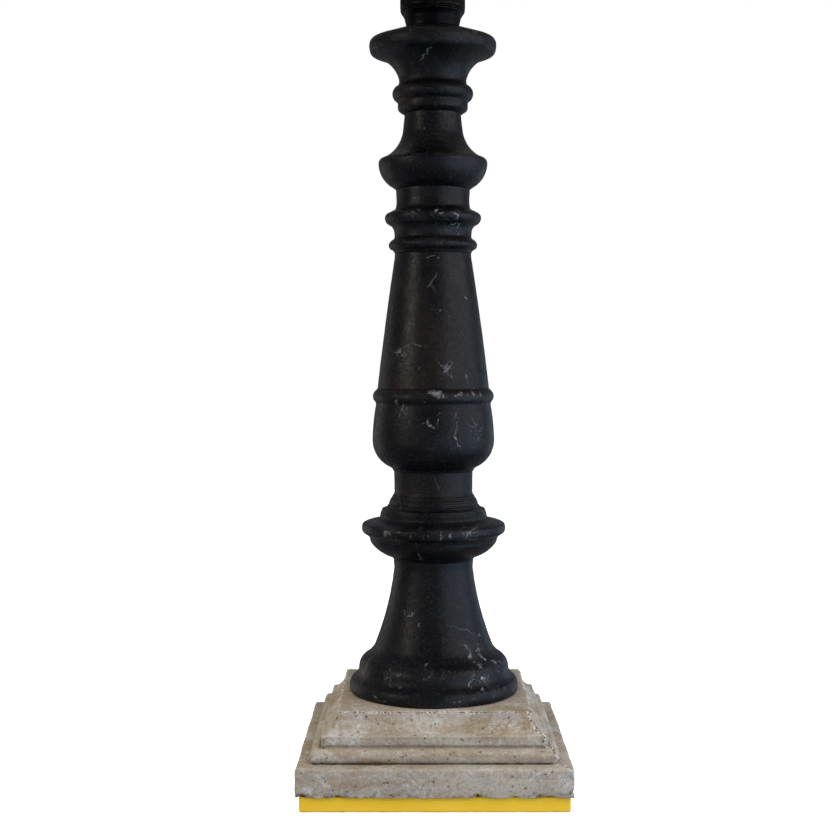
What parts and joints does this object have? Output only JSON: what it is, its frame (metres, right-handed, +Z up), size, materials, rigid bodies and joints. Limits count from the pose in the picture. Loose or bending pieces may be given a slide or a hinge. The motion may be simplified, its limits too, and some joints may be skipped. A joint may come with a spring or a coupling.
{
  "type": "table lamp",
  "caption": "Table lamp with a turned black marble column on a moulded concrete plinth, a push bar lamp holder and a tapered linen shade.",
  "frame": {"origin": "centre of the felt pad's underside, on the table", "axes": "+Z up along the column's axis, -Y towards the front, +Y towards the cord inlet"},
  "size_m": [0.3491, 0.3492, 0.8138],
  "materials": {
    "felt": "felt",
    "yellow_paint": "painted, satin",
    "concrete": "cast, worn",
    "rubber": "matte",
    "zinc_steel": "zinc plated",
    "nylon": "moulded",
    "brass": "turned",
    "black_marble": "honed",
    "bakelite": "moulded",
    "steatite": "unglazed",
    "bronze": "stamped",
    "solder": "dull",
    "black_glass": "glossy",
    "nickel": "pressed",
    "clear_glass": "clear",
    "phosphor": "coated",
    "white_wire": "powder coated",
    "linen": "woven, laminated",
    "hem_tape": "woven tape"
  },
  "bodies": {
    "stand": {"felt_pad": "felt", "base_board": "yellow_paint", "board_screws": "zinc_steel", "screw_plugs": "nylon", "plinth": "concrete", "cord_grommet": "rubber", "bottom_washer": "zinc_steel", "bottom_nut": "brass", "threaded_tube": "zinc_steel", "column_foot": "black_marble", "column_collar": "black_marble", "column_neck": "black_marble", "column_vase": "black_marble", "column_shaft": "black_marble", "column_rings": "black_marble", "column_pear": "black_marble", "column_capital": "black_marble", "top_washer": "zinc_steel", "top_nut": "brass", "cap_bushing": "brass", "holder_cap": "bakelite", "cap_lock_screw": "zinc_steel", "holder_barrel": "bakelite", "holder_insert": "steatite", "holder_skirt": "bakelite", "thread_shell": "brass", "centre_contact": "bronze", "side_contact": "bronze", "terminal_screws": "brass", "switch_blades": "bronze"},
    "switch": {"switch_bar": "bakelite"},
    "lower_ring": {"lower_shade_ring": "bakelite"},
    "upper_ring": {"upper_shade_ring": "bakelite"},
    "bulb": {"bulb_contact": "solder", "bulb_insulator": "black_glass", "bulb_cap": "nickel", "bulb_stem": "clear_glass", "bulb_filament": "phosphor", "bulb_glass": "clear_glass"},
    "shade": {"shade_fitter": "white_wire", "shade_arms": "white_wire", "shade_bottom_wire": "white_wire", "shade_top_wire": "white_wire", "shade_panel": "linen", "lower_hem_tape": "hem_tape", "upper_hem_tape": "hem_tape"}
  },
  "joints": [
    {"name": "switch_slide", "type": "slide", "parent": "stand", "child": "switch", "axis": [1, 0, 0], "range_m": [0, 0.005]},
    {"name": "lower_ring_turn", "type": "hinge", "parent": "stand", "child": "lower_ring", "pos_m": [0, 0, 0.569], "axis": [0, 0, 1], "continuous": true},
    {"name": "upper_ring_turn", "type": "hinge", "parent": "stand", "child": "upper_ring", "pos_m": [0, 0, 0.58], "axis": [0, 0, 1], "continuous": true},
    {"name": "bulb_turn", "type": "hinge", "parent": "stand", "child": "bulb", "pos_m": [0, 0, 0.577], "axis": [0, 0, 1], "continuous": true},
    {"name": "shade_turn", "type": "hinge", "parent": "stand", "child": "shade", "pos_m": [0, 0, 0.575], "axis": [0, 0, 1], "continuous": true}
  ]
}
